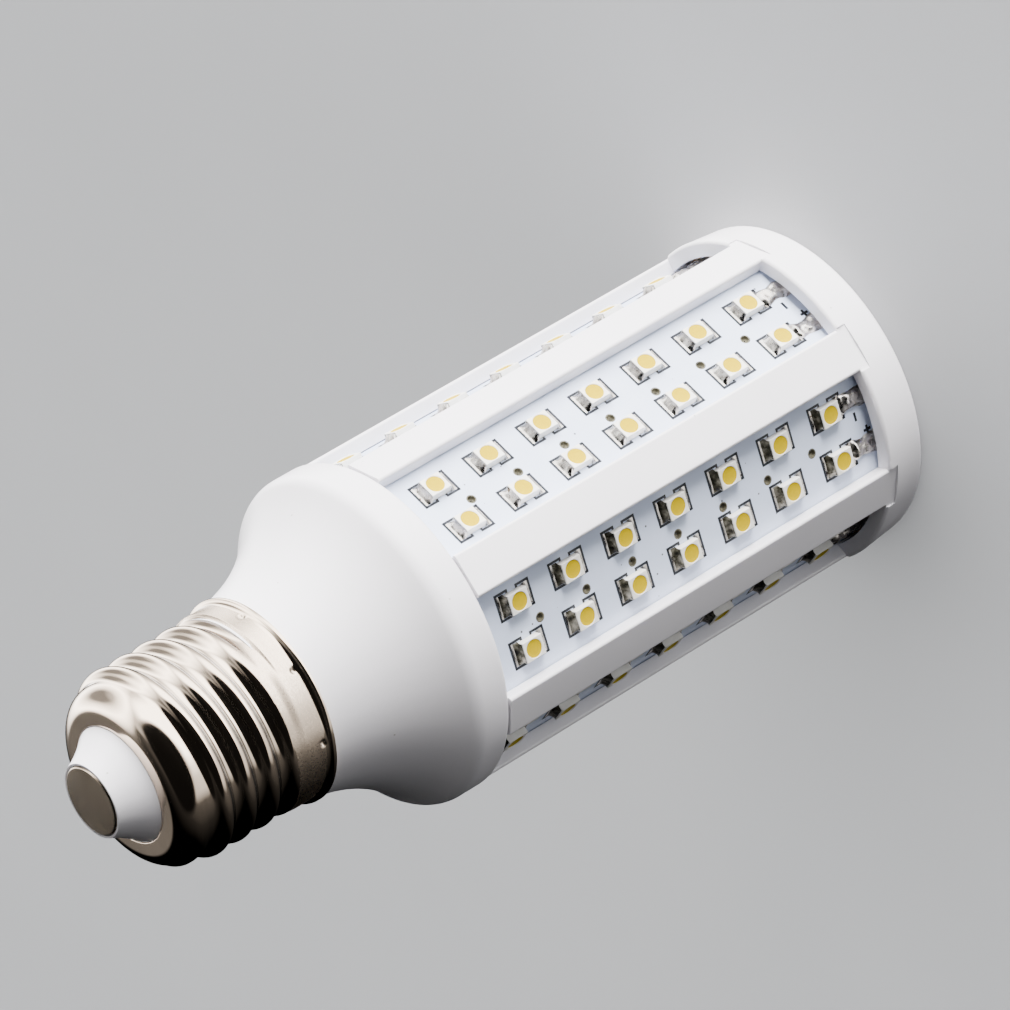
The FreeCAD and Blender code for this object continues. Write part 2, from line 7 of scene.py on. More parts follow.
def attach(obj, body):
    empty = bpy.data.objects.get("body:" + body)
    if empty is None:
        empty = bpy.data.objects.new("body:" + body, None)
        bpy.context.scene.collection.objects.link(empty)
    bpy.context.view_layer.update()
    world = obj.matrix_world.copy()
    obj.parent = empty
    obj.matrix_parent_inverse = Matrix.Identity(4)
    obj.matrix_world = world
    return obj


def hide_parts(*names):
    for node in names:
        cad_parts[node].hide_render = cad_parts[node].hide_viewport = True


# Looks of the corn LED bulb. Lengths are in millimetres, and in metres for the camera, lights and floor.

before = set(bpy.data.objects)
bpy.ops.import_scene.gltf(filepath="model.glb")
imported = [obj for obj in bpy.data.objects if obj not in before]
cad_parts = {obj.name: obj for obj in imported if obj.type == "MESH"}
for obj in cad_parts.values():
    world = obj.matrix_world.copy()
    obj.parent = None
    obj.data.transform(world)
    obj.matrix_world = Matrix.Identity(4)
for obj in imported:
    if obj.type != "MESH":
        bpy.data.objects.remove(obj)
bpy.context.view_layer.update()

MM = 0.001

# Places and sizes that follow the solids

STRIPS = 7
LEDS_IN_ROW = 7
BOARD_FACE = 19.04
LED_PITCH = 8.8
LED_ROW = 3.22
FIRST_LED = 11.9
LED_HALF_LENGTH = 1.53
LED_HALF_WIDTH = 1.33
LED_HEIGHT = 1.1
VIAS = 7
FIRST_VIA = 15.65
VIA_PITCH = 7.7
VIA_SIDE = -0.5
THREAD_PITCH = 3.63
THREAD_CREST = 13.2
THREAD_VALLEY = 12.1


# Shader nodes

def new_material(name, colour, roughness, metallic=0.0):
    """Material with one principled shader, and its node tree."""
    material = bpy.data.materials.new(name)
    material.use_nodes = True
    shader = material.node_tree.nodes["Principled BSDF"]
    shader.inputs["Base Color"].default_value = (*colour, 1.0)
    shader.inputs["Roughness"].default_value = roughness
    shader.inputs["Metallic"].default_value = metallic
    return material, material.node_tree, shader


def add(tree, kind, **values):
    """Node with its settings and its unlinked inputs given by name."""
    node = tree.nodes.new(kind)
    for key, value in values.items():
        if hasattr(node, key):
            setattr(node, key, value)
        else:
            node.inputs[key.replace("_", " ").title()].default_value = value
    return node


def join(tree, *ends):
    """Link each output to the input after it."""
    for start, end in zip(ends[::2], ends[1::2]):
        tree.links.new(start, end)


def grey(value):
    return (value, value, value)


BLACK_TO_WHITE = (grey(0.0), grey(1.0))


def place(tree):
    return tree.nodes.new("ShaderNodeTexCoord").outputs["Object"]


def colour_ramp(tree, source, stops):
    """Colours or values along an input, from (position, colour) stops."""
    ramp = tree.nodes.new("ShaderNodeValToRGB")
    elements = ramp.color_ramp.elements
    while len(elements) < len(stops):
        elements.new(0.5)
    for element, (position, colour) in zip(elements, stops):
        element.position = position
        element.color = (*colour, 1.0)
    join(tree, source, ramp.inputs["Fac"])
    return ramp.outputs["Color"]


def speckle(tree, scale, threshold, softness=0.02):
    """Mask that is 1 in sparse small spots."""
    spots = add(tree, "ShaderNodeTexVoronoi", scale=scale)
    join(tree, place(tree), spots.inputs["Vector"])
    stops = [(threshold, grey(1.0)), (threshold + softness, grey(0.0))]
    return colour_ramp(tree, spots.outputs["Distance"], stops)


def noise_ramp(tree, scale, stops, detail=4.0, stretch=None):
    """Noise over the object, turned into colours or values by (position, colour) stops."""
    cloud = add(tree, "ShaderNodeTexNoise", scale=scale, detail=detail)
    where = place(tree)
    if stretch is not None:
        mapping = tree.nodes.new("ShaderNodeMapping")
        mapping.inputs["Scale"].default_value = stretch
        join(tree, where, mapping.inputs["Vector"])
        where = mapping.outputs["Vector"]
    join(tree, where, cloud.inputs["Vector"])
    return colour_ramp(tree, cloud.outputs["Fac"], stops)


def drift(tree, scale, first, second, detail=4.0, stretch=None):
    """Colour or value that wanders between two, by noise of that scale."""
    return noise_ramp(tree, scale, [(0.3, first), (0.7, second)], detail, stretch)


def mix_colour(tree, mask, first, second):
    """Colour that goes from first to second where the mask is 1."""
    mix = tree.nodes.new("ShaderNodeMix")
    mix.data_type = "RGBA"
    for socket, colour in ((6, first), (7, second)):
        if isinstance(colour, tuple):
            mix.inputs[socket].default_value = (*colour, 1.0)
        else:
            join(tree, colour, mix.inputs[socket])
    join(tree, mask, mix.inputs[0])
    return mix.outputs[2]


def set_colour(tree, shader, colour):
    join(tree, colour, shader.inputs["Base Color"])


def set_roughness(tree, shader, scale, smooth, dull, stretch=None):
    """Roughness that wanders between a smooth and a dull value."""
    join(tree, drift(tree, scale, grey(smooth), grey(dull), stretch=stretch), shader.inputs["Roughness"])


def add_bump(tree, shader, height, strength, depth):
    bump = tree.nodes.new("ShaderNodeBump")
    bump.inputs["Strength"].default_value = strength
    bump.inputs["Distance"].default_value = depth * MM
    join(tree, height, bump.inputs["Height"], bump.outputs["Normal"], shader.inputs["Normal"])


def add_grain(tree, shader, scale, strength, depth):
    """Even fine bumps all over the surface."""
    add_bump(tree, shader, drift(tree, scale, *BLACK_TO_WHITE), strength, depth)


# Materials

def white_plastic():
    """Moulded white plastic with a faint violet tint, tiny specks and a soft gloss."""
    material, tree, shader = new_material("white_plastic", (0.80, 0.78, 0.81), 0.34)
    tint = noise_ramp(tree, 60, [(0.35, (0.79, 0.77, 0.80)), (0.65, (0.815, 0.795, 0.82))])
    specks = speckle(tree, 220, 0.022, 0.01)
    set_colour(tree, shader, mix_colour(tree, specks, tint, (0.50, 0.47, 0.45)))
    set_roughness(tree, shader, 180, 0.30, 0.40)
    add_grain(tree, shader, 2500, 0.12, 0.02)
    shader.inputs["Subsurface Weight"].default_value = 0.12
    shader.inputs["Subsurface Radius"].default_value = (1.0, 1.0, 1.1)
    shader.inputs["Subsurface Scale"].default_value = 0.8 * MM
    return material


def board_white():
    """White solder mask with a blue tint, mottled, with dark specks."""
    material, tree, shader = new_material("board_white", (0.60, 0.67, 0.84), 0.42)
    tint = drift(tree, 240, (0.58, 0.655, 0.82), (0.63, 0.70, 0.86))
    specks = speckle(tree, 420, 0.05)
    set_colour(tree, shader, mix_colour(tree, specks, tint, (0.06, 0.06, 0.07)))
    set_roughness(tree, shader, 500, 0.36, 0.5)
    add_grain(tree, shader, 1200, 0.15, 0.03)
    return material


def brown_laminate():
    """Bare laminate whose fibres run along the bulb. Its brown is its own colour, made lighter as painted
    light on the shaded inside of the head.
    """
    # Lighter brown than the bare board: painted light for the dim inside of the head
    material, tree, shader = new_material("brown_laminate", (0.56, 0.38, 0.22), 0.6)
    fibres = drift(tree, 700, (0.50, 0.33, 0.19), (0.62, 0.43, 0.26), stretch=(1.0, 1.0, 0.2))
    set_colour(tree, shader, fibres)
    add_bump(tree, shader, fibres, 0.3, 0.04)
    return material


NICKEL = (0.78, 0.63, 0.49)
WORN_NICKEL = tuple(0.86 * value for value in NICKEL)
PITTED_NICKEL = (0.30, 0.26, 0.22)
SECOND_REFLECTION = grey(0.55)
# Roughness where the plate is smoothest and dullest, as shares of its mean
SMOOTHEST = 0.75
DULLEST = 1.35


def nickel(name, roughness, relief, relief_stretch):
    """Nickel plate with light wear and fine tool marks.

    It looks neutral in its own reflections, or the valleys of the thread turn orange.
    """
    material, tree, shader = new_material(name, NICKEL, roughness, 1.0)
    tint = noise_ramp(tree, 160, [(0.35, WORN_NICKEL), (0.62, NICKEL)], stretch=(1.0, 1.0, 3.0))
    pits = speckle(tree, 300, 0.008, 0.01)
    pitted = mix_colour(tree, pits, tint, PITTED_NICKEL)
    reflected = tree.nodes.new("ShaderNodeLightPath").outputs["Is Glossy Ray"]
    set_colour(tree, shader, mix_colour(tree, reflected, pitted, SECOND_REFLECTION))
    marks = drift(tree, 90, *BLACK_TO_WHITE, detail=8.0, stretch=relief_stretch)
    gloss_stretch = tuple(0.2 * value for value in relief_stretch)
    set_roughness(tree, shader, 300, roughness * SMOOTHEST, roughness * DULLEST, gloss_stretch)
    add_bump(tree, shader, marks, relief, 0.02)
    return material


def contact_plate():
    """Dull nickel, mottled, with fine brushed lines."""
    material, tree, shader = new_material("contact_plate", (0.34, 0.28, 0.21), 0.24, 1.0)
    set_colour(tree, shader, drift(tree, 300, (0.30, 0.24, 0.18), (0.40, 0.33, 0.25)))
    brushed = (5.0, 0.1, 1.0)
    lines = drift(tree, 1200, *BLACK_TO_WHITE, detail=2.0, stretch=brushed)
    add_bump(tree, shader, lines, 0.08, 0.01)
    set_roughness(tree, shader, 1200, 0.22, 0.27, brushed)
    return material


def led_white():
    material, tree, shader = new_material("led_white", (0.86, 0.83, 0.76), 0.45)
    set_colour(tree, shader, drift(tree, 900, (0.82, 0.79, 0.72), (0.88, 0.86, 0.80)))
    add_grain(tree, shader, 3000, 0.1, 0.02)
    return material


PHOSPHOR_TONE = "tone"


def phosphor():
    """Yellow resin that pales towards the rim of its cup, by the tone painted on the mesh."""
    material, tree, shader = new_material("phosphor", (0.51, 0.365, 0.0), 0.4)
    shade = tree.nodes.new("ShaderNodeVertexColor")
    shade.layer_name = PHOSPHOR_TONE
    tone = tree.nodes.new("ShaderNodeSeparateColor")
    join(tree, shade.outputs["Color"], tone.inputs["Color"])
    yellow = drift(tree, 2600, (0.49, 0.35, 0.0), (0.53, 0.38, 0.0))
    set_colour(tree, shader, mix_colour(tree, tone.outputs["Red"], yellow, (0.93, 0.82, 0.45)))
    set_roughness(tree, shader, 900, 0.3, 0.42)
    shader.inputs["Specular IOR Level"].default_value = 0.03
    return material


FLUX_SOFTNESS = 0.08


def solder(name, flux_start, smooth, dull):
    """Bright lumpy solder, with brown flux in the spots where its noise is above flux_start."""
    material, tree, shader = new_material(name, (0.66, 0.62, 0.57), 0.2, 1.0)
    flux = noise_ramp(tree, 1300, [(flux_start, grey(0.0)), (flux_start + FLUX_SOFTNESS, grey(1.0))])
    bright = drift(tree, 700, (0.50, 0.46, 0.41), (0.74, 0.71, 0.67))
    set_colour(tree, shader, mix_colour(tree, flux, bright, (0.10, 0.06, 0.03)))
    set_roughness(tree, shader, 1600, smooth, dull)
    add_grain(tree, shader, 1800, 0.16, 0.05)
    return material


def painted_dark_solder():
    """Brown grey metal mottled with black: painted shade on the end walls of the packages, and painted
    dark reflection on the cap side of some pads.
    """
    material, tree, shader = new_material("painted_dark_solder", (0.12, 0.11, 0.08), 0.3, 0.5)
    # Dark mottled tones that stand in for shade and dark reflections, not for flux
    painted_dark_tones = [(0.38, (0.008, 0.007, 0.005)), (0.5, (0.07, 0.065, 0.045)), (0.68, (0.34, 0.32, 0.26))]
    set_colour(tree, shader, noise_ramp(tree, 900, painted_dark_tones, detail=8.0))
    set_roughness(tree, shader, 1600, 0.2, 0.45)
    add_grain(tree, shader, 2200, 0.3, 0.05)
    return material


def print_black():
    """Printed outline on the solder mask, slightly thin in places."""
    material, tree, shader = new_material("print_black", (0.008, 0.009, 0.012), 0.6)
    thin = noise_ramp(tree, 1500, [(0.3, (0.006, 0.007, 0.01)), (0.75, (0.02, 0.022, 0.03))])
    set_colour(tree, shader, thin)
    add_grain(tree, shader, 2500, 0.2, 0.01)
    return material


def via_lining():
    material, tree, shader = new_material("via_lining", (0.12, 0.11, 0.07), 0.5, 0.2)
    set_colour(tree, shader, drift(tree, 1500, (0.05, 0.045, 0.03), (0.17, 0.155, 0.10)))
    add_grain(tree, shader, 2500, 0.3, 0.02)
    return material


def plain_material(name, first, second, roughness):
    """Inner piece: two close tones mixed by noise, with a light grain."""
    material, tree, shader = new_material(name, first, roughness)
    tone = drift(tree, 400, first, second)
    set_colour(tree, shader, tone)
    add_bump(tree, shader, tone, 0.2, 0.03)
    return material


WHITE = white_plastic()
BOARD = board_white()
BROWN = brown_laminate()
BRIGHT = nickel("nickel_bright", 0.10, 0.05, (1.0, 1.0, 40.0))
SATIN = nickel("nickel_satin", 0.30, 0.08, (60.0, 60.0, 80.0))
CONTACT = contact_plate()
LED_BODY = led_white()
PHOSPHOR = phosphor()
SOLDER = solder("solder", 0.72, 0.15, 0.38)
PAD = solder("pad_solder", 0.64, 0.12, 0.36)
# Painted shade on the LED terminals and painted dark reflection on the cap side of some pads
PAINTED_DARK_SOLDER = painted_dark_solder()
INK = print_black()
VIA = via_lining()
TAN = plain_material("tan_laminate", (0.50, 0.40, 0.20), (0.58, 0.47, 0.26), 0.6)
RED_COAT = plain_material("capacitor_coat", (0.36, 0.06, 0.04), (0.45, 0.09, 0.05), 0.35)
CAN = plain_material("capacitor_can", (0.05, 0.05, 0.08), (0.08, 0.08, 0.12), 0.4)
BLACK = plain_material("black_package", (0.02, 0.02, 0.02), (0.05, 0.05, 0.05), 0.5)
LACQUER = plain_material("resistor_coat", (0.30, 0.40, 0.46), (0.36, 0.46, 0.52), 0.45)
SLEEVE = plain_material("wire_sleeve", (0.62, 0.61, 0.58), (0.70, 0.69, 0.66), 0.5)


# Meshes

def mesh_piece(name, points, faces, materials, material_of_face, smooth=True):
    """New piece on the bulb from points in millimetres. Each face names its material by number."""
    mesh = bpy.data.meshes.new(name)
    mesh.from_pydata([tuple(value * MM for value in point) for point in points], [], faces)
    for material in materials:
        mesh.materials.append(material)
    mesh.polygons.foreach_set("material_index", material_of_face)
    mesh.polygons.foreach_set("use_smooth", [smooth] * len(mesh.polygons))
    mesh.update()
    obj = bpy.data.objects.new(name, mesh)
    bpy.context.scene.collection.objects.link(obj)
    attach(obj, "root")
    return obj


def sharpen(obj, degrees):
    """Keep edges crisp where faces meet at more than that angle."""
    split = obj.modifiers.new("crisp_edges", "EDGE_SPLIT")
    split.split_angle = math.radians(degrees)
    split.use_edge_sharp = False


def dress(node, material):
    """Give a solid of the frame its material, with smooth curved faces."""
    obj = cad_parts[node]
    obj.data.materials.clear()
    obj.data.materials.append(material)
    obj.data.polygons.foreach_set("use_smooth", [True] * len(obj.data.polygons))
    weld = obj.modifiers.new("weld", "WELD")
    weld.merge_threshold = 0.001 * MM
    sharpen(obj, 30.0)


def on_strip(index):
    """Turn (outward, sideways, up) of a strip into the bulb's frame.

    The rib at -Y lies between the last strip and the first.
    """
    angle = math.radians(-90 + (index + 0.5) * 360 / STRIPS)
    return Matrix.Rotation(angle, 3, "Z")


class Build:
    """Points and faces of one piece, gathered in the frame of a strip."""

    def __init__(self, turn):
        self.turn = turn
        self.points = []
        self.faces = []
        self.material_of_face = []

    def point(self, outward, side, up):
        self.points.append(self.turn @ Vector((outward, side, up)))
        return len(self.points) - 1

    def face(self, corners, material=0):
        self.faces.append(corners)
        self.material_of_face.append(material)

    def loops(self, loops, material=0, closed=True):
        """Bands of quads between loops of points."""
        rows = [[self.point(*point) for point in loop] for loop in loops]
        count = len(rows[0])
        steps = count if closed else count - 1
        for below, above in zip(rows, rows[1:]):
            for i in range(steps):
                j = (i + 1) % count
                self.face((below[i], below[j], above[j], above[i]), material)
        return rows

    def patch(self, outward, sides, ups):
        """Flat rectangle that faces outward, between two sides and two heights."""
        left, right = sorted(sides)
        low, high = sorted(ups)
        corners = ((left, low), (right, low), (right, high), (left, high))
        self.face([self.point(outward, side, up) for side, up in corners])

    def piece(self, name, materials, smooth=True):
        return mesh_piece(name, self.points, self.faces, materials, self.material_of_face, smooth)


def led_places():
    """Middle of each LED on a strip, as (side, up)."""
    for side in (-LED_ROW, LED_ROW):
        for number in range(LEDS_IN_ROW):
            yield side, FIRST_LED + number * LED_PITCH


def random_shift(rng):
    """Place in the noise, so that each lump has its own form."""
    return Vector((rng.uniform(0, 50), rng.uniform(0, 50), rng.uniform(0, 50)))


# LED packages

SIDE_STEPS = 6
PACKAGE_LIFT = 0.02
CUP_RADIUS = 1.25
# Loops of a package as (inset, drop below the top): its wall and soft edge, then its cup
PACKAGE_EDGE = [(0.0, 0.12), (0.015, 0.03), (0.05, 0.0)]
CUP_EDGE = [(0.0, 0.0), (0.04, 0.03), (0.22, 0.24)]
TERMINAL_HALF_WIDTH = 1.25
TERMINAL_FOOT = 0.03
TERMINAL_HEIGHT = 0.95
TERMINAL_GAP = 0.012
# Loops of the filling as (radius, drop below the top, tone from yellow at 0 to pale at 1)
PHOSPHOR_RINGS = [(CUP_RADIUS - 0.02, 0.035, 0.7), (1.2, 0.06, 0.2), (1.14, 0.08, 0.0),
                  (0.6, 0.11, 0.0), (0.25, 0.12, 0.0)]


def package_loop(inset=0.0):
    """Points round a package, the same number on each side."""
    side, up = LED_HALF_WIDTH - inset, LED_HALF_LENGTH - inset
    corners = [(side, -up), (side, up), (-side, up), (-side, -up)]
    points = []
    for (y0, z0), (y1, z1) in zip(corners, corners[1:] + corners[:1]):
        for step in range(SIDE_STEPS):
            share = step / SIDE_STEPS
            points.append((y0 + (y1 - y0) * share, z0 + (z1 - z0) * share))
    return points


def cup_loop(radius):
    """Points on a circle, in the directions of the points round the package."""
    return [(y * radius / math.hypot(y, z), z * radius / math.hypot(y, z)) for y, z in package_loop()]


def make_led_bodies(index):
    """White packages with softened edges and a round cup, and a terminal on each end wall. The terminals
    are real, and their dark brown grey colour is painted shade on the end walls.
    """
    build = Build(on_strip(index))
    top = BOARD_FACE + LED_HEIGHT
    levels = [(package_loop(), BOARD_FACE + PACKAGE_LIFT)]
    levels += [(package_loop(inset), top - drop) for inset, drop in PACKAGE_EDGE]
    levels += [(cup_loop(CUP_RADIUS - inset), top - drop) for inset, drop in CUP_EDGE]
    terminal = [(TERMINAL_FOOT, -TERMINAL_HALF_WIDTH), (TERMINAL_FOOT, TERMINAL_HALF_WIDTH),
                (TERMINAL_HEIGHT, TERMINAL_HALF_WIDTH), (TERMINAL_HEIGHT, -TERMINAL_HALF_WIDTH)]
    for side, up in led_places():
        build.loops([[(height, side + y, up + z) for y, z in loop] for loop, height in levels])
        for end in (-1, 1):
            wall = up + end * (LED_HALF_LENGTH + TERMINAL_GAP)
            corners = [build.point(BOARD_FACE + height, side + y, wall) for height, y in terminal[::-end]]
            # Terminal in the dark material: a real terminal whose dark brown grey is painted shade of the
            # end wall
            build.face(corners, material=1)
    obj = build.piece("led_bodies_%d" % (index + 1), [LED_BODY, PAINTED_DARK_SOLDER])
    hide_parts("led_packages_%d" % (index + 1))
    sharpen(obj, 35.0)


def make_phosphor(index):
    """Slightly sunken yellow filling of each cup."""
    build = Build(on_strip(index))
    top = BOARD_FACE + LED_HEIGHT
    tones = []
    for side, up in led_places():
        loops = []
        for radius, drop, tone in PHOSPHOR_RINGS:
            loop = cup_loop(radius)
            loops.append([(top - drop, side + y, up + z) for y, z in loop])
            tones += [tone] * len(loop)
        rows = build.loops(loops)
        build.face(tuple(rows[-1]))
    obj = build.piece("phosphor_discs_%d" % (index + 1), [PHOSPHOR])
    layer = obj.data.color_attributes.new(PHOSPHOR_TONE, "FLOAT_COLOR", "POINT")
    layer.data.foreach_set("color", [value for tone in tones for value in (tone, tone, tone, 1.0)])
    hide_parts("led_phosphor_%d" % (index + 1))


# Solder pads

PAD_SEED = 40
PAD_HALF_WIDTH = 1.48
PAD_START = LED_HALF_LENGTH - 0.04
PAD_END = 2.48
PAD_STEPS = 9
PAD_LIFT = 0.02
PAD_SWELL = 0.05
PAD_LUMPS = 0.09
PAD_LUMP_SCALE = 1.6
PAD_EDGE_SHARPNESS = 8
FILLET_STEEPNESS = 1.3
FILLET_CURVE = 1.5
FILLET_SIDE_SHARPNESS = 10
CAP_SIDE_ROWS = 7
# On these strips the cap side of the pads is drawn dark brown black: painted dark reflection
DARK_STRIPS = (5, 6)


def pad_height(share, across, lump):
    """Solder above the board, from the package's wall at share 0 to the pad's end at share 1."""
    rise = (1 - min(1.0, share * FILLET_STEEPNESS)) ** FILLET_CURVE
    fillet = TERMINAL_HEIGHT * rise * (1 - abs(across) ** FILLET_SIDE_SHARPNESS)
    inside = (1 - share ** PAD_EDGE_SHARPNESS) * (1 - abs(across) ** PAD_EDGE_SHARPNESS)
    return PAD_LIFT + fillet + (PAD_SWELL + PAD_LUMPS * lump) * inside


def make_led_pads(index):
    """Silver pads at both ends of each package, with a fillet of solder that climbs its wall."""
    build = Build(on_strip(index))
    rng = random.Random(PAD_SEED + index)
    for side, up in led_places():
        shift = random_shift(rng)
        for end in (-1, 1):
            loops = []
            for row in range(PAD_STEPS):
                share = row / (PAD_STEPS - 1)
                z = end * (PAD_START + (PAD_END - PAD_START) * share)
                loop = []
                for column in range(PAD_STEPS):
                    across = -1 + 2 * column / (PAD_STEPS - 1)
                    y = across * PAD_HALF_WIDTH
                    lump = noise.noise(Vector((y * PAD_LUMP_SCALE, z * PAD_LUMP_SCALE, 0)) + shift)
                    loop.append((BOARD_FACE + pad_height(share, across, lump), side + y, up + z))
                loops.append(loop[::end])
            if end > 0:
                build.loops(loops[:CAP_SIDE_ROWS], material=1, closed=False)
                loops = loops[CAP_SIDE_ROWS - 1:]
            build.loops(loops, closed=False)
    # On the dark strips the cap side of the pads takes painted dark reflection
    cap_side = PAINTED_DARK_SOLDER if index in DARK_STRIPS else PAD
    build.piece("led_pads_%d" % (index + 1), [PAD, cap_side])


# Print and vias on the boards

BRACKET_HALF_WIDTH = 1.85
BRACKET_HALF_LENGTH = 2.82
BRACKET_GAP = 0.62
LINE = 0.34
HOOK = 1.2 * LINE
PRINT_LIFT = 0.015
# Places of the polarity marks as (side, up). The upright of the plus lies just over its bar.
MINUS = (0.8, 7.6)
PLUS = (-1.5, 6.3)
MARK_REACH = 0.6
MARK_HALF_LINE = 0.19
UPRIGHT_LIFT = 0.02
# Loops of a via as (radius, height above the board): plated rim, then lining
VIA_RINGS = [(0.66, 0.008), (0.6, 0.02), (0.52, 0.02), (0.49, -0.02), (0.48, -0.25),
             (0.3, -0.4), (0.1, -0.45)]
VIA_STEPS = 20


def print_bar(build, middle, half_side, half_up, lift=PRINT_LIFT):
    """Printed bar round a middle point."""
    side, up = middle
    build.patch(BOARD_FACE + lift, (side - half_side, side + half_side), (up - half_up, up + half_up))


def make_print(index):
    """Printed brackets round each package, open at mid-length, and the polarity marks."""
    build = Build(on_strip(index))
    height = BOARD_FACE + PRINT_LIFT
    for side, up in led_places():
        for end in (-1, 1):
            tip = up + end * BRACKET_HALF_LENGTH
            gap = up + end * BRACKET_GAP
            both_sides = (side - BRACKET_HALF_WIDTH, side + BRACKET_HALF_WIDTH)
            build.patch(height, both_sides, (tip, tip - end * LINE))
            for hand in (-1, 1):
                outer = side + hand * BRACKET_HALF_WIDTH
                inner = outer - hand * LINE
                build.patch(height, (outer, inner), (tip, gap))
                build.patch(height, (inner, inner - hand * HOOK), (gap, gap + end * LINE))
    print_bar(build, MINUS, MARK_REACH, MARK_HALF_LINE)
    print_bar(build, PLUS, MARK_REACH, MARK_HALF_LINE)
    print_bar(build, PLUS, MARK_HALF_LINE, MARK_REACH, UPRIGHT_LIFT)
    build.piece("board_print_%d" % (index + 1), [INK], smooth=False)


def make_vias(index):
    """Plated rim and lining of each hole in a board."""
    build = Build(on_strip(index))
    for number in range(VIAS):
        up = FIRST_VIA + number * VIA_PITCH
        loops = []
        for radius, height in VIA_RINGS:
            loop = []
            for step in range(VIA_STEPS):
                angle = 2 * math.pi * step / VIA_STEPS
                loop.append((BOARD_FACE + height, VIA_SIDE + radius * math.cos(angle),
                             up + radius * math.sin(angle)))
            loops.append(loop)
        build.loops(loops)
    sharpen(build.piece("via_rims_%d" % (index + 1), [VIA]), 50.0)


# Solder joints

JOINT_SEED = 7
JOINT_TOP = 10.0
JOINT_FOOT = 3.35
JOINT_ROWS = 27
JOINT_COLUMNS = 15
JOINT_LIFT = 0.01
JOINT_HALF_WIDTH = 1.35
JOINT_FOOT_SPREAD = 0.15
JOINT_LEAN = 0.25
LEAN_CENTRE = 0.3
WAIST_DEPTH = 0.16
WAIST_CENTRE = 0.35
WAIST_SPREAD = 0.16
# Width and height at the tip as shares of the full ones, and how fast they grow from there
TIP_WIDTH = 0.48
TIP_WIDENING = 6
TIP_HEIGHT = 0.3
TIP_RISE = 7
JOINT_HEIGHT = 0.55
JOINT_FOOT_RISE = 0.12
JOINT_CROWN = 4
# Long waves and short ripples, with their scales across and along the joint
WAVE_ACROSS = 1.4
WAVE_ALONG = 0.9
WAVE_HEIGHT = 0.28
WAVE_WIDTH = 0.2
RIPPLE_ACROSS = 3.0
RIPPLE_ALONG = 2.2
RIPPLE_LAYER = 5
RIPPLE_HEIGHT = 0.07


def joint_loop(side, share, shift, lean):
    """Points across a joint, at a share of its length from the cap side."""
    up = JOINT_TOP - share * (JOINT_TOP - JOINT_FOOT)
    waist = 1.0 - WAIST_DEPTH * math.exp(-((share - WAIST_CENTRE) / WAIST_SPREAD) ** 2)
    tip_width = min(1.0, TIP_WIDTH + TIP_WIDENING * share)
    tip_height = min(1.0, TIP_HEIGHT + TIP_RISE * share)
    half = (JOINT_HALF_WIDTH + JOINT_FOOT_SPREAD * share) * waist * tip_width
    loop = []
    for column in range(JOINT_COLUMNS):
        across = -1 + 2 * column / (JOINT_COLUMNS - 1)
        wave = noise.noise(Vector((across * WAVE_ACROSS, up * WAVE_ALONG, 0)) + shift)
        ripple = noise.noise(Vector((across * RIPPLE_ACROSS, up * RIPPLE_ALONG, RIPPLE_LAYER)) + shift)
        crown = max(0.0, 1 - abs(across) ** JOINT_CROWN)
        body = JOINT_HEIGHT + WAVE_HEIGHT * wave + RIPPLE_HEIGHT * ripple + JOINT_FOOT_RISE * share
        height = max(0.0, crown * tip_height * body)
        y = side + across * half * (1 + WAVE_WIDTH * wave) + lean * (share - LEAN_CENTRE)
        loop.append((BOARD_FACE + JOINT_LIFT + height, y, up))
    return loop


def make_solder_joints():
    """Lumpy joints between the head end of each strip and the board behind it."""
    rng = random.Random(JOINT_SEED)
    build = Build(on_strip(0))
    for index in range(STRIPS):
        build.turn = on_strip(index)
        for side in (-LED_ROW, LED_ROW):
            shift = random_shift(rng)
            lean = rng.uniform(-JOINT_LEAN, JOINT_LEAN)
            shares = [row / (JOINT_ROWS - 1) for row in range(JOINT_ROWS)]
            build.loops([joint_loop(side, share, shift, lean)[::-1] for share in shares], closed=False)
    obj = build.piece("solder_lumps", [SOLDER])
    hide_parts("solder_joints")


# Screw shell

CREST_AT = 98.0
CREST_ANGLE = math.radians(-18)
THREAD_DEPTH = THREAD_CREST - THREAD_VALLEY
ROLL_RADIUS = (THREAD_PITCH ** 2 / 4 + THREAD_DEPTH ** 2) / (4 * THREAD_DEPTH)
# Outline of the flange as (radius, height), with its turned lip
FLANGE = [(13.42, 91.55), (13.82, 91.5), (13.89, 91.52), (13.9, 91.56), (13.9, 91.92), (13.87, 91.97),
          (13.62, 92.02), (13.44, 92.12), (13.35, 92.28), (13.31, 92.5)]
SKIRT_RADIUS = 13.3
SKIRT_START = 92.6
SKIRT_STEP = 0.12
SKIRT_ROWS = 20
SKIRT_TOP = 95.0
SKIRT_TAPER = 1.4
THREAD_STEP = 0.13
THREAD_ROWS = 121
RUN_OUT_START = 95.5
RUN_OUT_END = 96.0
FADE_START = 109.3
FADE_END = 111.6
DOME_START = 110.83
DOME_ROUND = 3.0
DOME_ARC = math.radians(87)
DOME_SLOPE = math.tan(math.radians(3))
DOME_ROWS = 20
CROWN_ROWS = 4
HOLE_RADIUS = 7.9
# Lip of the hole as (inset, drop below its rim)
HOLE_LIP = [(0.04, 0.02), (0.06, 0.08), (0.06, 0.4)]
SHELL_STEPS = 480
DIMPLES = 8
DIMPLE_SPACING = 42.9
DIMPLE_ANGLES = [math.radians(-DIMPLE_SPACING * (number + 1)) for number in range(DIMPLES)]
DIMPLE_HEIGHT = 92.9
DIMPLE_DEPTH = 0.3
DIMPLE_FLOOR = 0.1
DIMPLE_RADIUS = 0.6


def smoothstep(low, high, value):
    """0 up to low and 1 from high on, with a soft rise between."""
    share = min(1.0, max(0.0, (value - low) / (high - low)))
    return share * share * (3 - 2 * share)


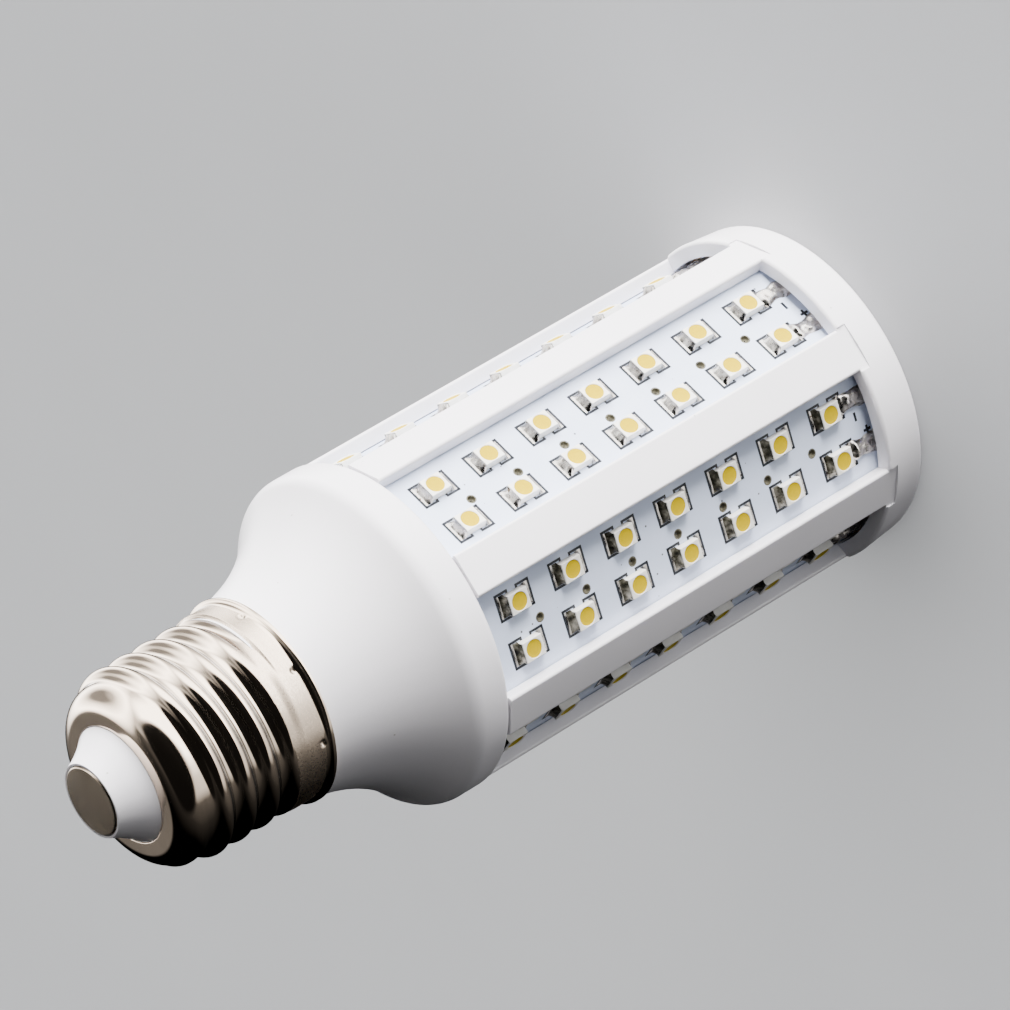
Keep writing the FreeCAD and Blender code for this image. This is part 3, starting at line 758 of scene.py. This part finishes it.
def ridge(distance):
    """Height of the rolled thread above its valley, that far along the axis from a crest."""
    distance = abs(distance)
    if distance < THREAD_PITCH / 4:
        return THREAD_DEPTH - (ROLL_RADIUS - math.sqrt(ROLL_RADIUS ** 2 - distance ** 2))
    return ROLL_RADIUS - math.sqrt(max(0.0, ROLL_RADIUS ** 2 - (THREAD_PITCH / 2 - distance) ** 2))


def nearest_crest(height, angle):
    """Height of the thread's crest that is nearest there."""
    crest = CREST_AT + THREAD_PITCH * ((angle - CREST_ANGLE) / (2 * math.pi))
    return crest + THREAD_PITCH * round((height - crest) / THREAD_PITCH)


def thread_begun(height, angle):
    """How far the thread has left the plain skirt there: 0 on the skirt, 1 on the thread."""
    crest = nearest_crest(height, angle)
    valley = crest + math.copysign(THREAD_PITCH / 2, height - crest)
    return smoothstep(RUN_OUT_START, RUN_OUT_END, valley)


def shell_radius(height, angle):
    """Outer radius of the cap in its threaded part and on the round of its dome."""
    crest = nearest_crest(height, angle)
    fade = 1 - smoothstep(FADE_START, FADE_END, crest)
    thread = THREAD_VALLEY + fade * ridge(height - crest)
    taper = smoothstep(SKIRT_TOP, SKIRT_TOP + SKIRT_TAPER, height)
    plain = SKIRT_RADIUS + (THREAD_CREST - SKIRT_RADIUS) * taper
    radius = plain + (thread - plain) * thread_begun(height, angle)
    if height > DOME_START:
        rise = min(DOME_ROUND, height - DOME_START)
        radius -= DOME_ROUND - math.sqrt(DOME_ROUND ** 2 - rise ** 2)
    return radius


def dimple(height, angle):
    """Depth of the crimp marks near the flange."""
    depth = 0.0
    for centre in DIMPLE_ANGLES:
        turn = (angle - centre + math.pi) % (2 * math.pi) - math.pi
        distance = math.hypot(turn * SKIRT_RADIUS, height - DIMPLE_HEIGHT)
        depth = max(depth, DIMPLE_DEPTH * (1 - smoothstep(DIMPLE_FLOOR, DIMPLE_RADIUS, distance)))
    return depth


def shell_rows():
    """Rows of the cap from the flange to the hole in its dome, as (kind, radius, height).

    The radius of a thread row changes with the angle, so it has none here.
    """
    rows = [("ring", radius, height) for radius, height in FLANGE]
    rows += [("skirt", SKIRT_RADIUS, SKIRT_START + SKIRT_STEP * step) for step in range(SKIRT_ROWS)]
    rows += [("thread", None, SKIRT_TOP + THREAD_STEP * step) for step in range(THREAD_ROWS)]
    for step in range(1, DOME_ROWS + 1):
        rows.append(("thread", None, DOME_START + DOME_ROUND * math.sin(DOME_ARC * step / DOME_ROWS)))
    dome_end = THREAD_VALLEY - DOME_ROUND * (1 - math.cos(DOME_ARC))
    dome_top = DOME_START + DOME_ROUND * math.sin(DOME_ARC)
    for step in range(1, CROWN_ROWS + 1):
        radius = dome_end + (HOLE_RADIUS - dome_end) * step / CROWN_ROWS
        rim = dome_top + (dome_end - radius) * DOME_SLOPE
        rows.append(("ring", radius, rim))
    return rows + [("ring", HOLE_RADIUS - inset, rim - drop) for inset, drop in HOLE_LIP]


def make_screw_shell():
    """Rolled cap: flared flange, satin skirt with crimp marks, true helical thread and dome."""
    rows = shell_rows()
    angles = [2 * math.pi * step / SHELL_STEPS - math.pi for step in range(SHELL_STEPS)]
    points, faces, material_of_face = [], [], []
    for kind, radius, height in rows:
        for angle in angles:
            reach = shell_radius(height, angle) if kind == "thread" else radius
            if kind == "skirt":
                reach -= dimple(height, angle)
            points.append((reach * math.cos(angle), reach * math.sin(angle), height))
    for row, (kind, _, height) in enumerate(rows[:-1]):
        here, above = row * SHELL_STEPS, (row + 1) * SHELL_STEPS
        for step, angle in enumerate(angles):
            after = (step + 1) % SHELL_STEPS
            faces.append((here + step, here + after, above + after, above + step))
            on_skirt = kind == "skirt" or (kind == "thread" and thread_begun(height, angle) < 0.5)
            material_of_face.append(1 if on_skirt else 0)
    obj = mesh_piece("threaded_cap", points, faces, [BRIGHT, SATIN], material_of_face)
    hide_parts("screw_shell")


# Camera, in metres, with its lens and sensor in millimetres

CAMERA_PLACE = (-0.009448, -0.701401, 0.474379)
CAMERA_RIGHT = (-0.515344, -0.437398, -0.736955)
CAMERA_UP = (0.856790, -0.281241, -0.432221)
CAMERA_LENS = 235.04
CAMERA_SENSOR = 36.0
CAMERA_RANGE = 50.0


def make_camera():
    data = bpy.data.cameras.new("camera")
    data.lens = CAMERA_LENS
    data.sensor_width = CAMERA_SENSOR
    data.clip_end = CAMERA_RANGE
    camera = bpy.data.objects.new("camera", data)
    right, up = Vector(CAMERA_RIGHT).normalized(), Vector(CAMERA_UP).normalized()
    turn = Matrix((right, up, right.cross(up))).transposed()
    camera.matrix_world = Matrix.Translation(CAMERA_PLACE) @ turn.to_4x4()
    bpy.context.scene.collection.objects.link(camera)
    bpy.context.scene.camera = camera


# Light and floor, in metres and watts

LIT_POINT = (0, 0, 0.06)
# Lights as (name, direction, distance, width, height, power, colour)
LIGHTS = [
    ("key", (0.81, -0.57, -0.12), 2.6, 2.8, 1.2, 500.0, (1.0, 0.985, 0.98)),
    ("fill", (-0.55, -0.83, 0.0), 1.4, 0.9, 0.9, 2.2, (0.95, 0.97, 1.0)),
    ("back", (0.75, 0.6, 0.2), 1.4, 0.7, 0.5, 4.0, (1.0, 1.0, 1.0)),
]
FLOOR_LIGHT = ("overhead", (0.0, 0.0, 1.0), 2.0, 3.0, 3.0, 110.0, (1.0, 1.0, 1.0))
FLOOR_REACH = 12.0
GLOSSY_STRENGTH = 9.0
# Directions, each with the brightness by how far a ray leans towards it, from -1 to 1
IMAGE_UP = (0.857, -0.281, -0.432)
SKY_RAMP = [(-1.0, 0.01), (-0.3, 0.03), (0.1, 0.4), (0.6, 1.6), (1.0, 2.6)]
STUDIO_KEY = (0.46, -0.86, -0.20)
KEY_RAMP = [(-0.75, 0.0), (-0.43, 0.004), (0.0, 0.018), (0.2, 0.16), (0.45, 0.2), (0.62, 0.4), (0.8, 1.0)]
STUDIO_SIDE = (0.85, 0.45, 0.27)
SIDE_RAMP = [(0.4, 0.0), (0.54, 0.009), (0.61, 0.03), (0.79, 1.0), (0.9, 0.5), (0.965, 0.06)]
# Directions, each with a mask of the same kind, and the shade that the studio takes where it is 1
STUDIO_TOP = (0.01, 0.86, 0.51)
TOP_MASK = [(0.965, 0.0), (0.985, 1.0)]
TOP_SHADE = grey(0.025)
STUDIO_FRONT = (-0.20, -0.83, 0.52)
FRONT_MASK = [(0.5, 0.0), (0.62, 1.0)]
FRONT_SHADE = grey(0.001)


def make_area_light(name, towards, distance, width, height, power, colour):
    """Soft light in that direction from the middle of the bulb, kept out of reflections."""
    data = bpy.data.lights.new(name, "AREA")
    data.shape = "RECTANGLE"
    data.size = width
    data.size_y = height
    data.energy = power
    data.color = colour
    light = bpy.data.objects.new(name, data)
    direction = Vector(towards).normalized()
    light.location = Vector(LIT_POINT) + direction * distance
    light.rotation_euler = direction.to_track_quat("Z", "Y").to_euler()
    light.visible_glossy = False
    bpy.context.scene.collection.objects.link(light)
    return light


def direction_ramp(tree, towards, stops):
    """Values that change with how far a direction leans towards a given one, from -1 to 1."""
    coordinates = tree.nodes.new("ShaderNodeTexCoord")
    lean = add(tree, "ShaderNodeVectorMath", operation="DOT_PRODUCT")
    lean.inputs[1].default_value = towards
    share = add(tree, "ShaderNodeMath", operation="MULTIPLY_ADD")
    share.inputs[1].default_value = 0.5
    share.inputs[2].default_value = 0.5
    join(tree, coordinates.outputs["Generated"], lean.inputs[0], lean.outputs["Value"], share.inputs[0])
    shares = [(0.5 + 0.5 * position, grey(value)) for position, value in stops]
    return colour_ramp(tree, share.outputs["Value"], shares)


def make_world():
    """Even pale light, stronger from one side. What shines sees two bright sides and a dark front."""
    world = bpy.data.worlds.new("studio")
    bpy.context.scene.world = world
    world.use_nodes = True
    tree = world.node_tree
    plain = tree.nodes["Background"]
    join(tree, direction_ramp(tree, IMAGE_UP, SKY_RAMP), plain.inputs["Color"])
    key = direction_ramp(tree, STUDIO_KEY, KEY_RAMP)
    side = direction_ramp(tree, STUDIO_SIDE, SIDE_RAMP)
    brighter = tree.nodes.new("ShaderNodeMix")
    brighter.data_type = "RGBA"
    brighter.blend_type = "LIGHTEN"
    brighter.inputs[0].default_value = 1.0
    join(tree, key, brighter.inputs[6], side, brighter.inputs[7])
    top = direction_ramp(tree, STUDIO_TOP, TOP_MASK)
    front = direction_ramp(tree, STUDIO_FRONT, FRONT_MASK)
    shaded = mix_colour(tree, front, mix_colour(tree, top, brighter.outputs[2], TOP_SHADE), FRONT_SHADE)
    shining = tree.nodes.new("ShaderNodeBackground")
    shining.inputs["Strength"].default_value = GLOSSY_STRENGTH
    path = tree.nodes.new("ShaderNodeLightPath")
    either = tree.nodes.new("ShaderNodeMixShader")
    join(tree, shaded, shining.inputs["Color"],
         path.outputs["Is Glossy Ray"], either.inputs[0],
         plain.outputs["Background"], either.inputs[1],
         shining.outputs["Background"], either.inputs[2],
         either.outputs["Shader"], tree.nodes["World Output"].inputs["Surface"])


def make_floor():
    """Pale floor that neither reflects nor shades the bulb, with a light that falls on it alone."""
    mesh = bpy.data.meshes.new("floor")
    corners = [(-FLOOR_REACH, -FLOOR_REACH, 0), (FLOOR_REACH, -FLOOR_REACH, 0),
               (FLOOR_REACH, FLOOR_REACH, 0), (-FLOOR_REACH, FLOOR_REACH, 0)]
    mesh.from_pydata(corners, [], [(0, 1, 2, 3)])
    material, tree, shader = new_material("floor", (0.36, 0.365, 0.375), 0.7)
    set_colour(tree, shader, drift(tree, 30, (0.355, 0.36, 0.37), (0.365, 0.37, 0.38)))
    mesh.materials.append(material)
    floor = bpy.data.objects.new("floor", mesh)
    floor.visible_glossy = False
    floor.visible_diffuse = False
    floor.visible_shadow = False
    bpy.context.scene.collection.objects.link(floor)
    lit = bpy.data.collections.new("lit_by_overhead")
    lit.objects.link(floor)
    overhead = make_area_light(*FLOOR_LIGHT)
    overhead.light_linking.receiver_collection = lit


# Assembly

SOLID_LOOKS = {
    "cage": WHITE,
    "lower_housing": WHITE,
    "insulator": WHITE,
    "centre_contact": CONTACT,
    "link_board": BROWN,
    "driver_board": TAN,
    "film_capacitor": RED_COAT,
    "bulk_capacitor": CAN,
    "bridge_rectifier": BLACK,
    "resistors": LACQUER,
    "fuse_resistor": LACQUER,
    "contact_lead": SLEEVE,
    "cap_lead": SLEEVE,
    "negative_lead": SLEEVE,
    "positive_lead": SLEEVE,
}

for node, look in SOLID_LOOKS.items():
    dress(node, look)
for strip in range(STRIPS):
    dress("strip_board_%d" % (strip + 1), BOARD)
    make_led_bodies(strip)
    make_phosphor(strip)
    make_led_pads(strip)
    make_print(strip)
    make_vias(strip)
make_solder_joints()
make_screw_shell()
make_camera()
for light in LIGHTS:
    make_area_light(*light)
make_world()
make_floor()
